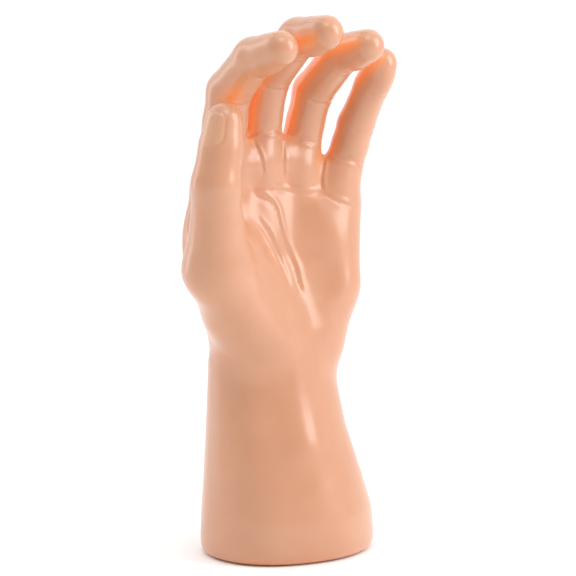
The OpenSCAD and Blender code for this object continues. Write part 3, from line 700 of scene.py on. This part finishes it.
def seat_seams(field, slopes, points, faces, owner):
    """Points where two pieces meet, moved onto the seam's plane; returns the points."""
    for i, name in enumerate(SEAMS):
        mine = np.zeros(len(points), bool)
        other = np.zeros(len(points), bool)
        mine[faces[owner == i].ravel()] = True
        other[faces[owner != i].ravel()] = True
        edge = np.flatnonzero(mine & other)
        start, end = seam_of(name)
        along = unit(end - start)
        p = points[edge]
        for _ in range(3):
            p = p - ((p - start) @ along)[:, None] * along
            p, _normal = settle(field, slopes, p, 2)
        p = p - ((p - start) @ along)[:, None] * along
        close = np.linalg.norm(p - points[edge], axis=1) < SEAM_SHIFT
        points[edge[close]] = p[close]
    return points


def painted_glow_of(field, points, normals):
    """How much other skin each point faces, for the painted glow of bounced and shone-through light:
    nought in the open, towards one in a deep gap.
    """
    total = np.zeros(len(points))
    for reach, weight in PAINTED_GLOW_REACHES:
        clear = field.sample(points + reach * normals) / reach
        total += weight * np.clip(1 - clear, 0, PAINTED_GLOW_LIMIT)
    return np.clip(total, 0, 1)


def mesh_piece(name, points, faces, normals, layers):
    """A smooth mesh with its own normals and named values at its vertices."""
    mesh = bpy.data.meshes.new(name)
    mesh.vertices.add(len(points))
    mesh.vertices.foreach_set("co", (points * MM).astype(np.float32).ravel())
    mesh.loops.add(faces.size)
    mesh.loops.foreach_set("vertex_index", faces.astype(np.int32).ravel())
    mesh.polygons.add(len(faces))
    mesh.polygons.foreach_set("loop_start", np.arange(0, faces.size, 4, dtype=np.int32))
    mesh.update(calc_edges=True)
    for layer, values in layers.items():
        attribute = mesh.attributes.new(layer, "FLOAT", "POINT")
        attribute.data.foreach_set("value", values.astype(np.float32))
    mesh.polygons.foreach_set("use_smooth", np.ones(len(faces), bool))
    mesh.normals_split_custom_set_from_vertices(normals.astype(np.float32))
    obj = bpy.data.objects.new(name, mesh)
    bpy.context.scene.collection.objects.link(obj)
    return obj


def build_glove():
    """The glove's pieces: the palm with the forearm, and one for each digit."""
    field = build_field(GRID_STEP)
    field.cut(base_opening(), OPENING_ROUNDING)
    slopes = field.slopes()
    points, faces = surface(field)
    points, _normals = settle(field, slopes, points, 4)
    owner = owners(points, faces)
    points = seat_seams(field, slopes, points, faces, owner)
    points, normals = settle(field, slopes, points, 0)
    # Painted glow: warm bounced and shone-through light, strongest where skin faces skin across a gap.
    painted_glow = painted_glow_of(field, points, normals)
    points, normals, nail, crease = raise_relief(points, normals, build_relief(field, slopes))
    # The crease layer carries painted shade into the colour.
    layers = {"painted_glow": painted_glow, "nail": nail, "crease": crease}
    made = {}
    for i, name in enumerate(("palm_and_forearm",) + tuple(SEAMS)):
        own = faces[owner == i - 1]
        used, local = np.unique(own, return_inverse=True)
        piece = mesh_piece(name + "_skin", points[used], local.reshape(own.shape), normals[used],
                           {layer: values[used] for layer, values in layers.items()})
        made[name] = piece
    return made


glove = build_glove()
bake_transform(glove["palm_and_forearm"])
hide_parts("forearm_glove", "palm_glove", "palm_foam_front", "palm_foam_back")
for digit in SEAMS:
    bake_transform(glove[digit])
    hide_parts(digit + "_glove", digit + "_core")
for piece in glove.values():
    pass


# ---- materials ----

def srgb(r, g, b):
    """A display colour of 0 to 255 as linear light."""
    values = [c / 255 for c in (r, g, b)]
    return tuple(c / 12.92 if c <= 0.04045 else ((c + 0.055) / 1.055) ** 2.4 for c in values) + (1.0,)


class Nodes:
    """Adds and links the nodes of one material."""

    def __init__(self, name):
        self.material = bpy.data.materials.new(name)
        self.material.use_nodes = True
        self.tree = self.material.node_tree
        self.shader = self.tree.nodes["Principled BSDF"]

    def add(self, kind, inputs=(), **settings):
        """A new node with settings, and inputs given as values or other nodes' outputs."""
        node = self.tree.nodes.new(kind)
        for key, value in settings.items():
            setattr(node, key, value)
        for key, value in dict(inputs).items():
            self.join(value, node.inputs[key])
        return node

    def join(self, value, socket):
        """Sets a socket to a value, or links an output to it."""
        if isinstance(value, bpy.types.NodeSocket):
            self.tree.links.new(value, socket)
        else:
            socket.default_value = value

    def place(self):
        """Where the point is, in the object's own space."""
        return self.add("ShaderNodeTexCoord").outputs["Object"]

    def noise(self, scale, detail=3.0, roughness=0.5):
        """Cloudy noise from nought to one."""
        return self.add("ShaderNodeTexNoise", {
            "Vector": self.place(), "Scale": scale, "Detail": detail, "Roughness": roughness,
        }).outputs["Fac"]

    def layer(self, name):
        """A named value stored at the mesh's vertices."""
        return self.add("ShaderNodeAttribute", attribute_name=name).outputs["Fac"]

    def spread(self, value, low, high, to_low=0.0, to_high=1.0):
        """A value stretched from one range to another, and clamped."""
        return self.add("ShaderNodeMapRange", {
            "Value": value, "From Min": low, "From Max": high, "To Min": to_low, "To Max": to_high,
        }).outputs["Result"]

    def mix(self, factor, a, b):
        """Two colours mixed."""
        node = self.add("ShaderNodeMix", data_type="RGBA")
        self.join(factor, node.inputs["Factor"])
        self.join(a, node.inputs[6])
        self.join(b, node.inputs[7])
        return node.outputs[2]

    def bump(self, height, distance, strength=1.0, normal=None):
        """A bumped normal; distance is in metres."""
        inputs = {"Height": height, "Distance": distance, "Strength": strength}
        if normal is not None:
            inputs["Normal"] = normal
        return self.add("ShaderNodeBump", inputs).outputs["Normal"]

    def set(self, **values):
        """Sets the shader's own sockets."""
        for key, value in values.items():
            self.join(value, self.shader.inputs[key.replace("_", " ")])


SKIN_LIGHT = srgb(203, 146, 112)
SKIN_DEEP = srgb(196, 137, 103)
# Colour of the painted glow of bounced and shone-through light.
SKIN_PAINTED_BOUNCE_GLOW = srgb(252, 160, 94)
# Colour of the painted shade in the creases.
SKIN_CREASE_PAINTED_SHADE = srgb(208, 138, 100)
SKIN_NAIL = srgb(216, 168, 134)


def skin_material():
    """Smooth glossy vinyl, with a painted glow of warm bounced and shone-through light where skin faces
    skin.
    """
    n = Nodes("glove_vinyl")
    cloudy = n.noise(14.0, 3.0, 0.55)
    fine = n.noise(60.0, 4.0, 0.6)
    mottled = n.spread(n.add("ShaderNodeMath", {0: cloudy, 1: fine}, operation="ADD").outputs[0], 0.6, 1.4)
    colour = n.mix(mottled, SKIN_DEEP, SKIN_LIGHT)
    # Painted glow of bounced and shone-through light where skin faces skin.
    colour = n.mix(n.spread(n.layer("painted_glow"), 0.11, 0.85, 0.0, 0.85), colour, SKIN_PAINTED_BOUNCE_GLOW)
    # Painted shade: the creases' depth darkens and warms the colour where shade falls in them.
    colour = n.mix(n.spread(n.layer("crease"), 0.05, 0.7, 0.0, 0.3), colour, SKIN_CREASE_PAINTED_SHADE)
    colour = n.mix(n.spread(n.layer("nail"), 0.0, 1.0, 0.0, 0.35), colour, SKIN_NAIL)
    n.set(Base_Color=colour, Roughness=n.spread(fine, 0.3, 0.7, 0.31, 0.39))
    n.set(Coat_Weight=0.6, Coat_Roughness=0.2, Coat_IOR=1.5)
    grain = n.noise(900.0, 3.0, 0.6)
    n.set(Normal=n.bump(n.noise(130.0, 2.0, 0.5), 0.00012, 0.35, n.bump(grain, 0.00002, 0.5)))
    return n.material


def plain_material(name, colour, darker, roughness, metallic, scale, grain, depth):
    """A workshop finish: two tones, uneven roughness and a fine grain."""
    n = Nodes(name)
    cloudy = n.noise(scale, 5.0, 0.6)
    n.set(Base_Color=n.mix(n.spread(cloudy, 0.35, 0.65), srgb(*darker), srgb(*colour)))
    n.set(Roughness=n.spread(n.noise(scale * 4, 3.0), 0.3, 0.7, roughness - 0.07, roughness + 0.09))
    n.set(Metallic=metallic, Normal=n.bump(n.noise(grain, 4.0, 0.65), depth, 0.6))
    return n.material


# Slot: name, colour, darker colour, roughness, metallic, scale of the clouds, and scale and depth
# of the grain.
PLAIN_FINISHES = {
    "foam": ("foam_cells", (243, 226, 190), (226, 204, 164), 0.9, 0.0, 60, 1400, 0.0004),
    "laminate": ("laminate_satin", (226, 196, 166), (206, 170, 138), 0.42, 0.0, 30, 700, 0.00003),
    "alloy": ("machined_alloy", (214, 216, 220), (190, 192, 197), 0.33, 1.0, 90, 2200, 0.00003),
    "steel": ("turned_steel", (196, 197, 201), (168, 170, 176), 0.26, 1.0, 120, 2600, 0.00003),
    "screw_steel": ("plated_steel", (176, 178, 184), (140, 143, 150), 0.34, 1.0, 150, 3000, 0.00003),
    "bronze": ("oiled_bronze", (206, 166, 96), (172, 128, 66), 0.38, 1.0, 110, 2400, 0.00003),
    "acetal": ("acetal_smooth", (242, 242, 236), (228, 229, 222), 0.36, 0.0, 70, 1200, 0.00003),
}
FINISHES = {"skin": skin_material()}
for slot, finish in PLAIN_FINISHES.items():
    FINISHES[slot] = plain_material(*finish)
for subpart in frame["record"]["subparts"]:
    node = frame["nodes"].get(subpart["node"])
    if node is not None:
        node.data.materials.clear()
        node.data.materials.append(FINISHES[subpart["material_slot"]])
for piece in glove.values():
    piece.data.materials.append(FINISHES["skin"])


# ---- camera, light and floor ----

VIEW_AZIMUTH, VIEW_ELEVATION, VIEW_DISTANCE = -36.0, 8.0, 1.2
VIEW_TARGET = Vector((-0.003, -0.008, 0.127))
LENS = 160.3


def direction(azimuth, elevation):
    """The unit vector from the object towards a place round it; azimuth 0 is in front."""
    a, e = math.radians(azimuth), math.radians(elevation)
    return Vector((math.sin(a) * math.cos(e), -math.cos(a) * math.cos(e), math.sin(e)))


def aim(obj, place, target):
    """Puts an object at a place, looking at a target."""
    obj.location = place
    obj.rotation_euler = (target - place).to_track_quat("-Z", "Y").to_euler()


camera_data = bpy.data.cameras.new("camera")
camera_data.lens = LENS
camera_data.sensor_width = 36.0
camera = bpy.data.objects.new("camera", camera_data)
bpy.context.scene.collection.objects.link(camera)
aim(camera, VIEW_TARGET + VIEW_DISTANCE * direction(VIEW_AZIMUTH, VIEW_ELEVATION), VIEW_TARGET)
bpy.context.scene.camera = camera

# Soft boxes: azimuth, elevation, distance, width, height and power in watts.
SOFT_BOXES = (
    (-146, 16, 0.9, 0.25, 0.9, 1.5),
    (38, 26, 0.9, 0.40, 0.7, 4.4),
    (-30, 66, 1.0, 0.4, 0.4, 1.6),
)
for number, (azimuth, elevation, distance, width, height, power) in enumerate(SOFT_BOXES):
    light_data = bpy.data.lights.new("soft_box_%d" % number, "AREA")
    light_data.shape = "RECTANGLE"
    light_data.size, light_data.size_y, light_data.energy = width, height, power
    light = bpy.data.objects.new("soft_box_%d" % number, light_data)
    bpy.context.scene.collection.objects.link(light)
    aim(light, VIEW_TARGET + distance * direction(azimuth, elevation), VIEW_TARGET)

# The room is darker towards the camera than to the sides and behind, and brightest overhead.
ROOM_BACK, ROOM_FRONT, ROOM_TOP = 1.0, 0.53, 0.5
world = bpy.data.worlds.new("studio")
world.use_nodes = True
room = world.node_tree.nodes
links = world.node_tree.links
ray = room.new("ShaderNodeTexCoord").outputs["Generated"]


def room_part(toward, low, high, start, end):
    """Brightness from start to end as the ray turns from away to towards a direction."""
    facing = room.new("ShaderNodeVectorMath")
    facing.operation = "DOT_PRODUCT"
    facing.inputs[1].default_value = toward
    part = room.new("ShaderNodeMapRange")
    for socket, value in zip(("From Min", "From Max", "To Min", "To Max"), (low, high, start, end)):
        part.inputs[socket].default_value = value
    links.new(ray, facing.inputs[0])
    links.new(facing.outputs["Value"], part.inputs["Value"])
    return part.outputs["Result"]


total = room.new("ShaderNodeMath")
links.new(room_part(direction(VIEW_AZIMUTH, 0), -0.6, 0.6, ROOM_BACK, ROOM_FRONT), total.inputs[0])
links.new(room_part((0, 0, 1), 0.3, 1.0, 0.0, ROOM_TOP), total.inputs[1])
links.new(total.outputs[0], room["Background"].inputs["Strength"])
room["Background"].inputs["Color"].default_value = (1, 1, 1, 1)
bpy.context.scene.world = world
bpy.context.scene.view_settings.view_transform = "Standard"

FLOOR_SIZE = 40.0
floor_mesh = bpy.data.meshes.new("floor")
floor_corners = [(x * FLOOR_SIZE, y * FLOOR_SIZE, 0) for x, y in ((-1, -1), (1, -1), (1, 1), (-1, 1))]
floor_mesh.from_pydata(floor_corners, [], [(0, 1, 2, 3)])
floor = bpy.data.objects.new("floor", floor_mesh)
bpy.context.scene.collection.objects.link(floor)
floor_nodes = Nodes("pale_floor")
floor_colour = floor_nodes.mix(floor_nodes.noise(3.0), srgb(255, 255, 255), srgb(252, 252, 252))
floor_nodes.set(Base_Color=floor_colour, Roughness=0.8)
floor_mesh.materials.append(floor_nodes.material)
